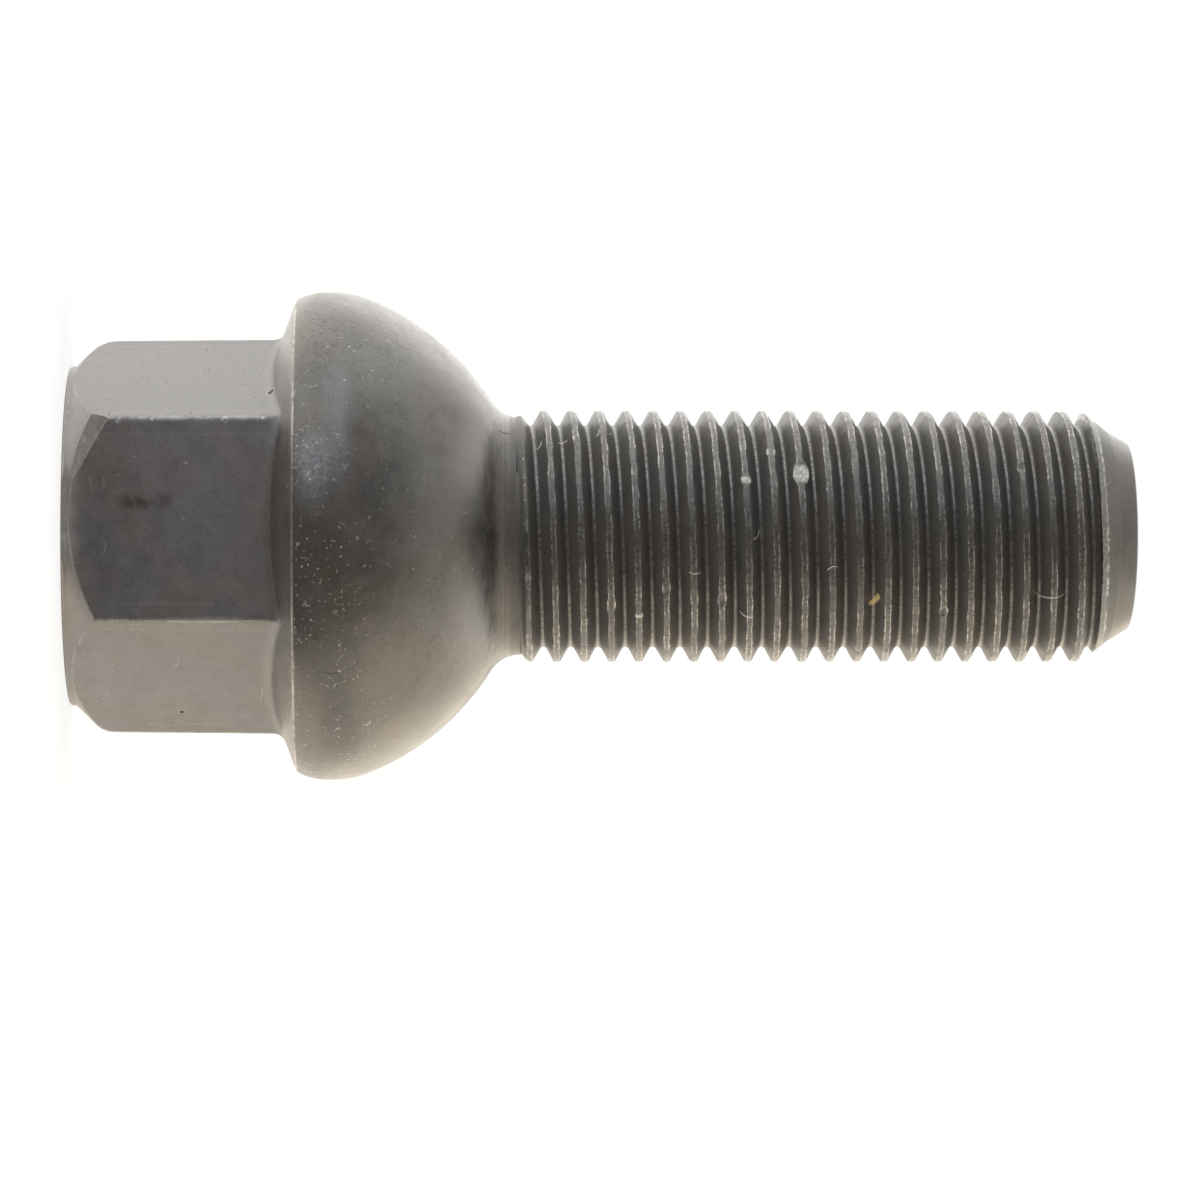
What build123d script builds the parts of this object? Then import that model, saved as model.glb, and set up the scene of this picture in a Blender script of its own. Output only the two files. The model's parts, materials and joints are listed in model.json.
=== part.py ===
from build123d import *
import os
from math import radians, sqrt, tan

# Wheel bolt with a ball seat, forged and turned in one piece, with a rolled thread.
# It stands on its head: Z runs along the axis from the head's end face to the point,
# the origin is the middle of that end face, and two of the six flats face along Y.
# Lengths are in millimetres, angles in degrees.

# Whole bolt
overall_length = 58.1

# Hexagon for the wrench, widening towards the collar by the draft of its die
across_flats = 18.9
hex_draft = 0.5
hex_corner_radius = 0.35

# Free end of the hexagon: a turned land, then a chamfer that runs out on the flats
land_diameter = 18.6
land_height = 0.35
land_edge_chamfer = 0.2
head_chamfer_angle = 45.0

# Flare behind the collar, up to its sharp back edge
head_height = 12.35
flare_angle = 20.0
flare_fillet = 0.35

# Rim of the collar: crowned at the back, then plain up to the ball
crown_length = 1.65
crown_radius = 3.4
rim_length = 1.25
rim_inset = 0.62

# Ball seat that centres the wheel, and the fillet that runs from it into the neck
seat_radius = 14.0
seat_fillet = 2.0

# Neck, and the thread as the cylinder over its crests
neck_diameter = 13.0
neck_length = 0.2
thread_diameter = 13.8
thread_pitch = 1.5
runout_turns = 1.5

# Point: a steep cut through the last crests, then a slimmer cone
thread_end_angle = 38.0
tip_cone_angle = 27.5
tip_cone_length = 1.15
tip_diameter = 10.4
tip_edge_chamfer = 0.2

# Radii
hex_radius = across_flats / 2
hex_end_radius = hex_radius - head_height * tan(radians(hex_draft))
land_radius = land_diameter / 2
rim_radius = seat_radius - rim_inset
edge_radius = rim_radius - crown_radius + sqrt(crown_radius**2 - crown_length**2)
neck_radius = neck_diameter / 2
thread_radius = thread_diameter / 2
tip_radius = tip_diameter / 2
tip_cone_radius = tip_radius + tip_cone_length * tan(radians(tip_cone_angle))

# Heights above the head's end face
flare_apex = head_height - edge_radius * tan(radians(flare_angle))
crown_top = head_height + crown_length
rim_top = crown_top + rim_length
seat_centre = rim_top - sqrt(seat_radius**2 - rim_radius**2)
seat_end = seat_centre + sqrt(seat_radius**2 - neck_radius**2)
fillet_end = seat_centre + sqrt((seat_radius + seat_fillet) ** 2 - (neck_radius + seat_fillet) ** 2)
neck_end = fillet_end + neck_length
thread_start = neck_end + runout_turns * thread_pitch
tip_cone_start = overall_length - tip_cone_length
thread_end = tip_cone_start - (thread_radius - tip_cone_radius) / tan(radians(thread_end_angle))

with BuildPart() as wheel_bolt:
    # Forged hexagon, from the end face up into the collar
    with BuildSketch() as hex_end:
        RegularPolygon(hex_end_radius, side_count=6, major_radius=False)
        fillet(hex_end.vertices(), hex_corner_radius)
    extrude(amount=head_height, taper=-hex_draft)

    # What the lathe leaves of the hexagon at its free end
    chamfer_reach = land_radius + (head_height - land_height) * tan(radians(head_chamfer_angle))
    with BuildSketch(Plane.YZ) as head_turning:
        with BuildLine():
            Polyline(
                (0, 0),
                (land_radius, 0),
                (land_radius, land_height),
                (chamfer_reach, head_height),
                (0, head_height),
                close=True,
            )
        make_face()
        land_edge = head_turning.vertices().sort_by_distance((land_radius, 0))[0]
        chamfer(land_edge, land_edge_chamfer)
    revolve(axis=Axis.Z, mode=Mode.INTERSECT)

    # Flare, collar, ball, neck, thread and point as one turned outline
    with BuildSketch(Plane.YZ) as shank_turning:
        with BuildLine():
            flare = Line((0, flare_apex), (edge_radius, head_height))
            crown = RadiusArc(flare @ 1, (rim_radius, crown_top), -crown_radius)
            rim = Line(crown @ 1, (rim_radius, rim_top))
            seat = RadiusArc(rim @ 1, (neck_radius, seat_end), -seat_radius)
            Polyline(
                seat @ 1,
                (neck_radius, neck_end),
                (thread_radius, thread_start),
                (thread_radius, thread_end),
                (tip_cone_radius, tip_cone_start),
                (tip_radius, overall_length),
                (0, overall_length),
                flare @ 0,
            )
        make_face()
        seat_foot = shank_turning.vertices().sort_by_distance((neck_radius, seat_end))[0]
        fillet(seat_foot, seat_fillet)
        tip_edge = shank_turning.vertices().sort_by_distance((tip_radius, overall_length))[0]
        chamfer(tip_edge, tip_edge_chamfer)
    revolve(axis=Axis.Z)

    # Fillet where the six flats and their rounded corners run into the flare
    flare_edges = wheel_bolt.faces().filter_by(GeomType.CONE).sort_by(SortBy.AREA)[-1].edges()
    flat_feet = flare_edges.filter_by(GeomType.HYPERBOLA)
    corner_feet = flare_edges.filter_by(GeomType.BSPLINE)
    fillet(flat_feet + corner_feet, flare_fillet)

wheel_bolt.part.label = "wheel_bolt"

os.makedirs("parts", exist_ok=True)
export_step(wheel_bolt.part, "parts/wheel_bolt.step")
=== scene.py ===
# %% [markdown]
# # A wheel bolt with a ball seat
#
# The part is one piece of steel: a hexagon for the wrench, a collar, a ball that centres the wheel, a
# short neck and a fine thread, under a black coating that has worn bright on the thread's crests. The CAD
# model already stands in the frame at its real size, on its head, with Z along the axis. It has no helix,
# because a fine thread is a matter of looks, and its edges are cleaner than those of a bolt that has lain
# in a box with others. So one mesh is made here that follows the CAD model's sizes, takes its place, and
# adds the thread, the softened edges and the knocks.

# %% Load the frame and measure it
import bmesh
import bpy
import json
import math
from mathutils import Matrix, Vector, noise
from mathutils.bvhtree import BVHTree


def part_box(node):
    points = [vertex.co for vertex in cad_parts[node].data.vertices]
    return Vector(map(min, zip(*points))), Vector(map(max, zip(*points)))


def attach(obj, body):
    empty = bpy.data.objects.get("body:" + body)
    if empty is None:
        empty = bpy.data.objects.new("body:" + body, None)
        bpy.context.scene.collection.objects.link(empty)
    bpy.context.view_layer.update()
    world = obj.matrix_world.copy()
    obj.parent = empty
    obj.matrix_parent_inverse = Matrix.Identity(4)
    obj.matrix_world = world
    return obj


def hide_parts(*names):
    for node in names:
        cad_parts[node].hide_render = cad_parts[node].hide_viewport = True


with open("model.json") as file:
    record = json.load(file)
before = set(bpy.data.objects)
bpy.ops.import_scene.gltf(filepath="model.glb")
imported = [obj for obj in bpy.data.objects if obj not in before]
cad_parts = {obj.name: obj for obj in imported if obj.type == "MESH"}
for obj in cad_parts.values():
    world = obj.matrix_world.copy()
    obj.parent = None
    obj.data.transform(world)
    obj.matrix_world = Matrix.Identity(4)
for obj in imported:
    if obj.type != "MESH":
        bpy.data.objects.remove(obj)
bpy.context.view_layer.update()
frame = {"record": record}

# Blender's unit is the metre, and the shapes below are worked out in millimetres.
MM = 0.001
mounts = {mount["name"]: mount for mount in frame["record"]["mounts"]}
low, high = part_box("wheel_bolt")
bolt_length = (high.z - low.z) / MM
rim_radius = (high.x - low.x) / 2 / MM
thread_radius = mounts["thread"]["dims"]["r_mm"]
ball_centre = mounts["ball_seat"]["pos_m"][2] / MM
print(f"bolt {bolt_length:.1f} mm long, collar radius {rim_radius:.2f}, thread radius {thread_radius:.2f}")

# %% [markdown]
# ## The camera
#
# The photograph shows the bolt from the side with its head to the left, so the camera lies on its side:
# its right is the bolt's Z axis and its up is the bolt's -X axis. The thread's pitch gives the picture's
# scale, and the way the crests crowd together towards the point gives the distance and the slight turn of
# the axis away from the camera. Setting the camera first means that every mark can later be placed by the
# pixel it has in the photograph.

# %% Camera
PHOTO_SIZE = 1200
PIXELS_PER_MM = 18.165
CAMERA_DISTANCE = 294.0
CAMERA_TURN = 5.0
AXIS_TILT = 2.0
CENTRE_HEIGHT = 29.03
CENTRE_BELOW_AXIS = 3.51

turn = Matrix.Rotation(math.radians(CAMERA_TURN), 3, "Z")
tilt = math.radians(AXIS_TILT)
forward = turn @ Vector((0, math.cos(tilt), math.sin(tilt)))
right = turn @ Vector((0, -math.sin(tilt), math.cos(tilt)))
up = turn @ Vector((-1, 0, 0))
aim = Vector((0, 0, CENTRE_HEIGHT)) - up * CENTRE_BELOW_AXIS
eye = aim - forward * CAMERA_DISTANCE

camera_data = bpy.data.cameras.new("camera")
camera_data.angle = 2 * math.atan(PHOTO_SIZE / 2 / PIXELS_PER_MM / CAMERA_DISTANCE)
camera_data.clip_start = 0.01
camera_data.clip_end = 100
camera = bpy.data.objects.new("camera", camera_data)
axes = Matrix((right, up, -forward)).transposed().to_4x4()
camera.matrix_world = Matrix.Translation(eye * MM) @ axes
bpy.context.scene.collection.objects.link(camera)
bpy.context.scene.camera = camera
print(f"camera {CAMERA_DISTANCE:.0f} mm away, field of view {math.degrees(camera_data.angle):.2f} degrees")

# %% [markdown]
# ## The head's outline
#
# The head is forged: a hexagon with a little draft, whose free end is turned to a flat land and a
# chamfer, and whose other end runs through a small fillet into a flared collar. Along each corner a
# narrow strip of the flat rises a little, and the corners of the chamfer have been knocked round, some
# more than others. A hexagon could be extruded and cut by a cone, but then every edge would need its own
# bevel. Instead one outline is drawn for each column of the mesh, from the middle of the end face to the
# collar's back edge. All outlines have the same number of points, so a spin can make the faces, and each
# column is then pressed to its own outline, much as the die presses the hexagon into a round blank.

# %% Sizes of the head
ACROSS_FLATS = 18.9
DRAFT = math.tan(math.radians(0.5))
CORNER_ROUND = 0.3
STRIP_WIDTH = 0.92
STRIP_BEND = math.radians(1.6)
LAND_RADIUS = 9.3
LAND_HEIGHT = 0.35
LAND_ROUND = 0.18
CHAMFER_ROUND = 0.2
CORNER_KNOCKS = (1.3, 0.5, 0.2, 1.3, 0.0, 0.1)
KNOCK_WIDTH = math.radians(4.0)
HEAD_HEIGHT = 12.35
FLARE_SLOPE = math.radians(20.0)
FOOT_ROUND = 0.7
CROWN_RADIUS = 3.4
CROWN_LENGTH = 1.65
EDGE_ROUND = 0.06

SIXTH = math.radians(60.0)
edge_radius = rim_radius - CROWN_RADIUS + math.sqrt(CROWN_RADIUS ** 2 - CROWN_LENGTH ** 2)
crown_centre = (rim_radius - CROWN_RADIUS, HEAD_HEIGHT + CROWN_LENGTH)


def arc(centre, radius, start, end, steps):
    """Points along an arc in the plane of radius and height, between two angles in radians."""
    points = []
    for step in range(steps + 1):
        angle = start + (end - start) * step / steps
        points.append((centre[0] + radius * math.cos(angle), centre[1] + radius * math.sin(angle)))
    return points


def run(start, end, steps):
    """Points along a straight line, without its first point."""
    points = []
    for step in range(1, steps + 1):
        share = step / steps
        points.append((start[0] + (end[0] - start[0]) * share, start[1] + (end[1] - start[1]) * share))
    return points


def wall_radius(angle, height):
    """How far the hexagon's wall is from the axis: flat, strip along the corner, or rounded corner."""
    apothem = ACROSS_FLATS / 2 - (HEAD_HEIGHT - height) * DRAFT
    off_corner = abs((angle + SIXTH / 2) % SIXTH - SIXTH / 2)
    strip_start = apothem * math.tan(SIXTH / 2) - STRIP_WIDTH
    strip_distance = apothem * math.cos(STRIP_BEND) - strip_start * math.sin(STRIP_BEND)
    half_corner = SIXTH / 2 + STRIP_BEND
    round_centre = (strip_distance - CORNER_ROUND) / math.cos(half_corner)
    round_end = math.atan2(
        CORNER_ROUND * math.sin(half_corner),
        round_centre + CORNER_ROUND * math.cos(half_corner),
    )
    if off_corner < round_end:
        sideways = round_centre * math.sin(off_corner)
        return round_centre * math.cos(off_corner) + math.sqrt(CORNER_ROUND ** 2 - sideways ** 2)
    flat = apothem / math.cos(SIXTH / 2 - off_corner)
    strip = strip_distance / math.cos(half_corner - off_corner)
    return max(flat, strip)


def flare_height(radius):
    """Height of the flared back of the collar."""
    return HEAD_HEIGHT - (edge_radius - radius) * math.tan(FLARE_SLOPE)


print(f"the collar's back edge has a radius of {edge_radius:.2f} mm")

# %% One column's outline
CHAMFER_SLOPE = math.radians(45.0)
ROUNDED_SHARE = 0.8
WALL_STEPS = 22


def head_outline(angle):
    """Outline of the head at one angle about the axis, as (radius, height) points."""
    wall = wall_radius(angle, LAND_HEIGHT + 1)
    chamfer_top = LAND_HEIGHT + (wall - LAND_RADIUS) / math.tan(CHAMFER_SLOPE)
    off_corner = abs((angle + SIXTH / 2) % SIXTH - SIXTH / 2)
    extra = CORNER_KNOCKS[round(angle / SIXTH) % 6]
    knocked = CHAMFER_ROUND + extra * max(1 - off_corner / KNOCK_WIDTH, 0)
    soft = min(knocked, ROUNDED_SHARE * (wall - LAND_RADIUS) / math.tan(CHAMFER_SLOPE / 2))
    soft_centre = (wall - soft, chamfer_top + soft * math.tan(CHAMFER_SLOPE / 2))
    foot_wall = wall_radius(angle, HEAD_HEIGHT - 1)
    foot_radius = foot_wall + FOOT_ROUND
    foot_centre = (foot_radius, flare_height(foot_radius) - FOOT_ROUND / math.cos(FLARE_SLOPE))

    points = [(0.0, 0.0)]
    points += run((0.0, 0.0), (LAND_RADIUS - LAND_ROUND, 0.0), 4)
    points += arc((LAND_RADIUS - LAND_ROUND, LAND_ROUND), LAND_ROUND, -math.pi / 2, 0, 4)[1:]
    points += run(points[-1], (LAND_RADIUS, LAND_HEIGHT), 1)
    soft_arc = arc(soft_centre, soft, -CHAMFER_SLOPE, 0, 5)
    points += run(points[-1], soft_arc[0], 6)
    points += soft_arc[1:]
    wall_start = points[-1]
    for step in range(1, WALL_STEPS + 1):
        height = wall_start[1] + (foot_centre[1] - wall_start[1]) * step / WALL_STEPS
        points.append((wall_radius(angle, height), height))
    points += arc(foot_centre, FOOT_ROUND, math.pi, math.pi / 2 + FLARE_SLOPE, 6)[1:]
    near_edge = edge_radius - EDGE_ROUND
    points += run(points[-1], (near_edge, flare_height(near_edge)), 8)
    return points


outline_length = len(head_outline(0.0))
print("points in a head outline:", outline_length)

# %% [markdown]
# ## Collar, ball and neck
#
# From the collar's back edge on, the bolt is round, so one outline serves for all columns: a crowned rim,
# a short plain band, the ball, whose centre lies on the axis, and the fillet that leads into the neck.

# %% Outline of the round part
FILLET_RADIUS = 2.0
NECK_RADIUS = 6.5
SOFT_RADIUS = 5.0
BALL_RADIUS = 14.0
NECK_TOP = 24.1

crown_start = math.asin(-(CROWN_LENGTH - EDGE_ROUND) / CROWN_RADIUS)
soft_turn = math.acos((rim_radius - SOFT_RADIUS) / (BALL_RADIUS - SOFT_RADIUS))
soft_height = ball_centre + (BALL_RADIUS - SOFT_RADIUS) * math.sin(soft_turn)
fillet_offset = NECK_RADIUS + FILLET_RADIUS
ball_end = math.acos(fillet_offset / (BALL_RADIUS + FILLET_RADIUS))
fillet_centre = (fillet_offset, ball_centre + (BALL_RADIUS + FILLET_RADIUS) * math.sin(ball_end))

round_outline = arc(crown_centre, CROWN_RADIUS, crown_start, 0, 9)
round_outline += run(round_outline[-1], (rim_radius, soft_height), 2)
round_outline += arc((rim_radius - SOFT_RADIUS, soft_height), SOFT_RADIUS, 0, soft_turn, 6)[1:]
round_outline += arc((0.0, ball_centre), BALL_RADIUS, soft_turn, ball_end, 38)[1:]
round_outline += arc(fillet_centre, FILLET_RADIUS, math.pi + ball_end, math.pi, 12)[1:]
round_outline += [(NECK_RADIUS, NECK_TOP)]
print("points in the round outline:", len(round_outline))

# %% [markdown]
# A spin turns the outline into faces. Its columns start out evenly spaced. On the hexagon they are
# crowded towards the six corners, where the outline changes quickly, and on the ball they drift back to
# even spacing, because the thread needs them even. Every vertex carries its row number in a layer, so it
# can be told which point of which outline it is.

# %% Columns, rows and how exposed they are
COLUMNS = 180
CROWDING = 1.8
WELD = 0.0005
# Rows of the head's outline on the land's edge and the chamfer's edge, and the wall's first and last.
LAND_ROWS = (6, 7, 8, 9)
CHAMFER_ROWS = (16, 17, 18, 19)
WALL_ROWS = (15, 42)
# How exposed the columns beside a corner are, from the corner outwards.
CORNER_SHARE = (1.0, 0.97, 0.86, 0.55, 0.2, 0.0)
COLLAR_EXPOSURE = 0.94
LAND_EXPOSURE = 0.76
CHAMFER_EXPOSURE = 0.82


def draw_chain(bm, points):
    """Vertices and edges of an outline in the XZ plane, each vertex tagged with its row."""
    row = bm.verts.layers.int["row"]
    chain = []
    for number, (radius, height) in enumerate(points):
        vert = bm.verts.new((radius, 0, height))
        vert[row] = number
        chain.append(vert)
    links = [bm.edges.new(pair) for pair in zip(chain, chain[1:])]
    return chain + links


def turn_chain(bm, chain, climb=0.0):
    """Spins a chain once about the axis, closed on itself unless it climbs on the way."""
    bmesh.ops.spin(
        bm,
        geom=chain,
        cent=(0, 0, 0),
        axis=(0, 0, 1),
        dvec=(0, 0, climb / COLUMNS),
        angle=math.tau,
        steps=COLUMNS,
        use_merge=climb == 0,
    )


def crowded(column):
    """Angle of a column when the columns gather at the hexagon's corners."""
    per_corner = COLUMNS // 6
    corner = round(column / per_corner)
    side = (column - corner * per_corner) / (per_corner / 2)
    return corner * SIXTH + math.copysign(abs(side) ** CROWDING, side) * SIXTH / 2


def place(vert, angle, radius, height):
    """Puts a vertex at an angle, a radius and a height."""
    vert.co = (radius * math.cos(angle), radius * math.sin(angle), height)


def column_of(vert):
    """The number of the evenly spaced column that a vertex stands on."""
    return round(math.atan2(vert.co.y, vert.co.x) / math.tau * COLUMNS) % COLUMNS


def exposure(row, column):
    """How exposed a vertex is to knocks: most along the corners, the land's edge and the collar's edge."""
    off_corner = abs((column + COLUMNS // 12) % (COLUMNS // 6) - COLUMNS // 12)
    if row in (outline_length - 1, outline_length):
        return COLLAR_EXPOSURE
    if row in LAND_ROWS:
        return LAND_EXPOSURE
    if row in CHAMFER_ROWS:
        return CHAMFER_EXPOSURE
    if WALL_ROWS[0] <= row <= WALL_ROWS[1]:
        return CORNER_SHARE[min(off_corner, len(CORNER_SHARE) - 1)]
    return 0.0


print("columns to a corner:", COLUMNS // 6)

# %% Turn the outline and press the hexagon
bolt = bmesh.new()
row_layer = bolt.verts.layers.int.new("row")
edge_layer = bolt.verts.layers.float.new("edge")
crest_layer = bolt.verts.layers.float.new("crest")
chain = draw_chain(bolt, head_outline(0.0) + round_outline)
turn_chain(bolt, chain)
outlines = [head_outline(crowded(column)) for column in range(COLUMNS)]
row_count = outline_length + len(round_outline)
for vert in bolt.verts:
    column = column_of(vert)
    row = vert[row_layer]
    vert[edge_layer] = exposure(row, column)
    if row < outline_length:
        place(vert, crowded(column), *outlines[column][row])
        continue
    even = column / COLUMNS * math.tau
    drift = (row - outline_length) / (row_count - 1 - outline_length)
    gathered = crowded(column)
    if gathered - even > math.pi:
        gathered -= math.tau
    place(vert, gathered + (even - gathered) * drift, *round_outline[row - outline_length])
bmesh.ops.remove_doubles(bolt, verts=bolt.verts, dist=WELD)
print("head, collar, ball and neck:", len(bolt.verts), "vertices,", len(bolt.faces), "faces")

# %% [markdown]
# ## The thread
#
# A rolled thread has flat crests, straight flanks at 60 degrees to each other and rounded roots. One
# pitch of that outline, from root to root, is spun about the axis while it climbs by one pitch a turn,
# which is a screw: each turn's last row lies on the next turn's first, and merging doubles sews them
# together. The screw starts a turn too low and ends a turn too high. What is too low is flattened onto
# the neck's last ring and what is too high onto the point's first ring, and merging doubles again closes
# the tube with two clean rings that fit the turned parts.

# %% One pitch of the thread
PITCH = 1.5
CREST_HALF = 0.15
CREST_EDGE = 0.03
ROOT_ROUND = 0.22
FLANK = math.tan(math.radians(30.0))
CREST_AT_TOP = 40.92
# Rows are counted from the crest's middle: the last one on top, the sharp ones, and each row's share
# of the mask that says where the crest is.
CREST_ROWS = 2
SHARP_ROWS = (3, 7)
CREST_SHARE = (1.0, 1.0, 0.75, 0.58, 0.25, 0.0)
TOP_ANGLE = math.atan2(up.y, up.x)

root_reach = ROOT_ROUND * math.cos(math.radians(30.0))
flank_foot = thread_radius - (PITCH / 2 - root_reach - CREST_HALF) / FLANK
root_centre = flank_foot + ROOT_ROUND / 2
half_pitch = [
    (0.0, thread_radius),
    (CREST_HALF / 2, thread_radius),
    (CREST_HALF - CREST_EDGE, thread_radius),
    (CREST_HALF + CREST_EDGE * FLANK, thread_radius - CREST_EDGE),
]
flank_top = half_pitch[-1]
flank_run = run(flank_top, (PITCH / 2 - root_reach, flank_foot), 16)
half_pitch += [flank_run[0], flank_run[-1]]
for degrees in (40.0, 18.0, 0.0):
    lean = math.radians(degrees)
    half_pitch.append((PITCH / 2 - ROOT_ROUND * math.sin(lean), root_centre - ROOT_ROUND * math.cos(lean)))
whole_pitch = [(-along, radius) for along, radius in reversed(half_pitch[1:])] + half_pitch
print(f"root radius {half_pitch[-1][1]:.2f} mm, {len(whole_pitch) - 1} faces to a pitch")

# %% [markdown]
# The thread fades in over its first turn: at the neck the crests have not risen and the roots are not yet
# pressed in. At the point it is cut away by a cone, and the last turn ends in a sharp, rubbed ridge. The
# ridge would be lost between two rows of the mesh, so the row at the top of a cut flank slides to the
# line where flank and cone meet. No crest of a rolled thread is quite even, so the two edges of each
# crest wander a little along the axis and its top dips here and there, after a noise that is the same on
# every run. The edges of crests and roots stay sharp in the shading.

# %% The thread's fade at the neck and its cut at the point
CREST_RISE = 1.2
ROOT_PRESS = 1.1
POINT_START = 56.95
POINT_RADIUS = 5.8
POINT_CUT = math.tan(math.radians(38.0))


def smooth_step(value, start, end):
    """Rises smoothly from 0 to 1 between start and end."""
    share = min(max((value - start) / (end - start), 0.0), 1.0)
    return share * share * (3 - 2 * share)


def cone_radius(height):
    """Radius of the cone that cuts the thread off at the point."""
    return POINT_RADIUS + (POINT_START - height) * POINT_CUT


def ridge_height(crest, side):
    """Height at which that cone meets the near (-1) or the far (1) flank of the crest at a height."""
    steep = side / FLANK
    flank_line = thread_radius + (CREST_HALF + side * crest) / FLANK
    return (flank_line - cone_radius(0.0)) / (steep - POINT_CUT)


def thread_shape(height, radius):
    """Radius of the thread's surface after its fade at the neck and its cut at the point."""
    if radius > NECK_RADIUS:
        radius = NECK_RADIUS + (radius - NECK_RADIUS) * smooth_step(height, NECK_TOP, NECK_TOP + CREST_RISE)
    else:
        radius = NECK_RADIUS + (radius - NECK_RADIUS) * smooth_step(height, NECK_TOP, NECK_TOP + ROOT_PRESS)
    return min(radius, cone_radius(height))


cut_start = POINT_START - (thread_radius - POINT_RADIUS) / POINT_CUT
print(f"the cone cuts the crests from {cut_start:.2f} mm on")

# %% Screw the pitch up the shank
first_crest = CREST_AT_TOP - PITCH * TOP_ANGLE / math.tau
turns_down = math.ceil((first_crest - NECK_TOP) / PITCH) + 2
screw_start = first_crest - turns_down * PITCH
turns = math.ceil((POINT_START - screw_start) / PITCH) + 2
thread = bmesh.new()
thread.verts.layers.int.new("row")
chain = draw_chain(thread, [(radius, screw_start + along) for along, radius in whole_pitch])
turn_chain(thread, chain, PITCH)
one_turn = thread.verts[:] + thread.edges[:] + thread.faces[:]
for count in range(1, turns):
    copied = bmesh.ops.duplicate(thread, geom=one_turn)["geom"]
    copied_verts = [item for item in copied if isinstance(item, bmesh.types.BMVert)]
    bmesh.ops.translate(thread, verts=copied_verts, vec=(0, 0, PITCH * count))
print("thread before it is cut:", turns, "turns,", len(thread.verts), "vertices")

# %% Shape every vertex of the thread
FLANK_TOP_ROW = 4
WORN_RIDGE = (0.2, 0.6)
EVEN_END = (0.3, 1.2)
EDGE_WANDER = 0.055
COARSE_WANDER = 1.1
FINE_WANDER = 2.9
FINE_SHARE = 0.7
CREST_DIP = 0.05
DIP_SPACING = 1.9

thread_row = thread.verts.layers.int["row"]
thread_crest = thread.verts.layers.float.new("crest")
thread.verts.layers.float.new("edge")
middle = len(half_pitch) - 1
flank_reach = PITCH / 2 - root_reach
for vert in thread.verts:
    angle = math.atan2(vert.co.y, vert.co.x)
    height = vert.co.z
    radius = math.hypot(vert.co.x, vert.co.y)
    from_middle = vert[thread_row] - middle
    crest = height - whole_pitch[vert[thread_row]][0]
    side = math.copysign(1, from_middle)
    here = vert.co.copy()
    wander = 0.0
    if abs(from_middle) <= FLANK_TOP_ROW:
        # The added vectors shift the noise, so that the two edges don't wander together.
        wander = noise.noise(here * COARSE_WANDER + Vector((0, 0, 7 * side)))
        wander += FINE_SHARE * noise.noise(here * FINE_WANDER + Vector((3, 0, 5 * side)))
        wander *= smooth_step(POINT_START - height, *EVEN_END)
        height += EDGE_WANDER * wander * min(abs(from_middle) / CREST_ROWS, 1.0)
        radius -= CREST_DIP * max(noise.noise(here * DIP_SPACING + Vector((11, 5, 2))), 0.0)
    vert[thread_crest] = CREST_SHARE[min(abs(from_middle), len(CREST_SHARE) - 1)]
    vert[thread_crest] *= smooth_step(height, NECK_TOP, NECK_TOP + CREST_RISE)
    if abs(from_middle) <= FLANK_TOP_ROW and radius > cone_radius(height):
        ridge = ridge_height(crest, side)
        if abs(from_middle) == FLANK_TOP_ROW and (crest + side * flank_reach - ridge) * side > 0:
            height = ridge + EDGE_WANDER * wander
            radius = cone_radius(height)
            vert[thread_row] = middle + SHARP_ROWS[0]
        vert[thread_crest] = 1 - smooth_step(height - ridge_height(crest, -1), *WORN_RIDGE)
    radius = thread_shape(height, radius)
    if height < NECK_TOP:
        height = NECK_TOP
        radius = NECK_RADIUS
    if height > POINT_START:
        height = POINT_START
        radius = POINT_RADIUS
        vert[thread_crest] = 0.0
    place(vert, angle, radius, height)
bmesh.ops.remove_doubles(thread, verts=thread.verts, dist=WELD)
for edge in thread.edges:
    rows = {abs(vert[thread_row] - middle) for vert in edge.verts}
    if len(rows) == 1 and rows.issubset(SHARP_ROWS):
        edge.smooth = False
print("thread:", len(thread.verts), "vertices,", len(thread.faces), "faces")

# %% [markdown]
# ## The point
#
# Past the thread the bolt narrows in a smooth cone to its flat end, with the edge just broken. This is a
# lathe job again.

# %% Turn the point and sew the three parts together
TIP_RADIUS = 5.2
TIP_ROUND = 0.2
TIP_SLOPE = math.atan2(POINT_RADIUS - TIP_RADIUS, bolt_length - POINT_START)

tip_arc = arc((TIP_RADIUS - TIP_ROUND, bolt_length - TIP_ROUND), TIP_ROUND, TIP_SLOPE, math.pi / 2, 4)
point_outline = [(POINT_RADIUS, POINT_START)]
point_outline += run(point_outline[-1], tip_arc[0], 4)
point_outline += tip_arc[1:]
point_outline += run(tip_arc[-1], (0.0, bolt_length), 4)
chain = draw_chain(thread, point_outline)
turn_chain(thread, chain)
thread_mesh = bpy.data.meshes.new("thread")
thread.to_mesh(thread_mesh)
thread.free()
bolt.from_mesh(thread_mesh)
bpy.data.meshes.remove(thread_mesh)
bmesh.ops.remove_doubles(bolt, verts=bolt.verts, dist=WELD)
open_edges = [edge for edge in bolt.edges if len(edge.link_faces) != 2]
print("whole bolt:", len(bolt.verts), "vertices,", len(bolt.faces), "faces,", len(open_edges), "open edges")

# %% [markdown]
# ## Knocks and dents
#
# The bolt has lain loose among others. Knocks are found in the photograph by their pixels: a ray from the
# camera through the pixel meets the mesh at the place to work on. At a knock the crest is beaten flat, so
# its two edges are pushed apart along the axis and its top sinks. The mesh is too coarse for that, so the
# edges round a knock are cut smaller first. Distances are measured the way round the axis, so that a
# knock does not reach the next turn. One corner of the front flat has a second, flatter facet beside the
# chamfer. A plane cuts it off, the hole is filled again, and an inset gives the facet a narrow worn rim.

# %% From a pixel of the photograph to a point of the bolt
surface_tree = BVHTree.FromBMesh(bolt)


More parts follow.
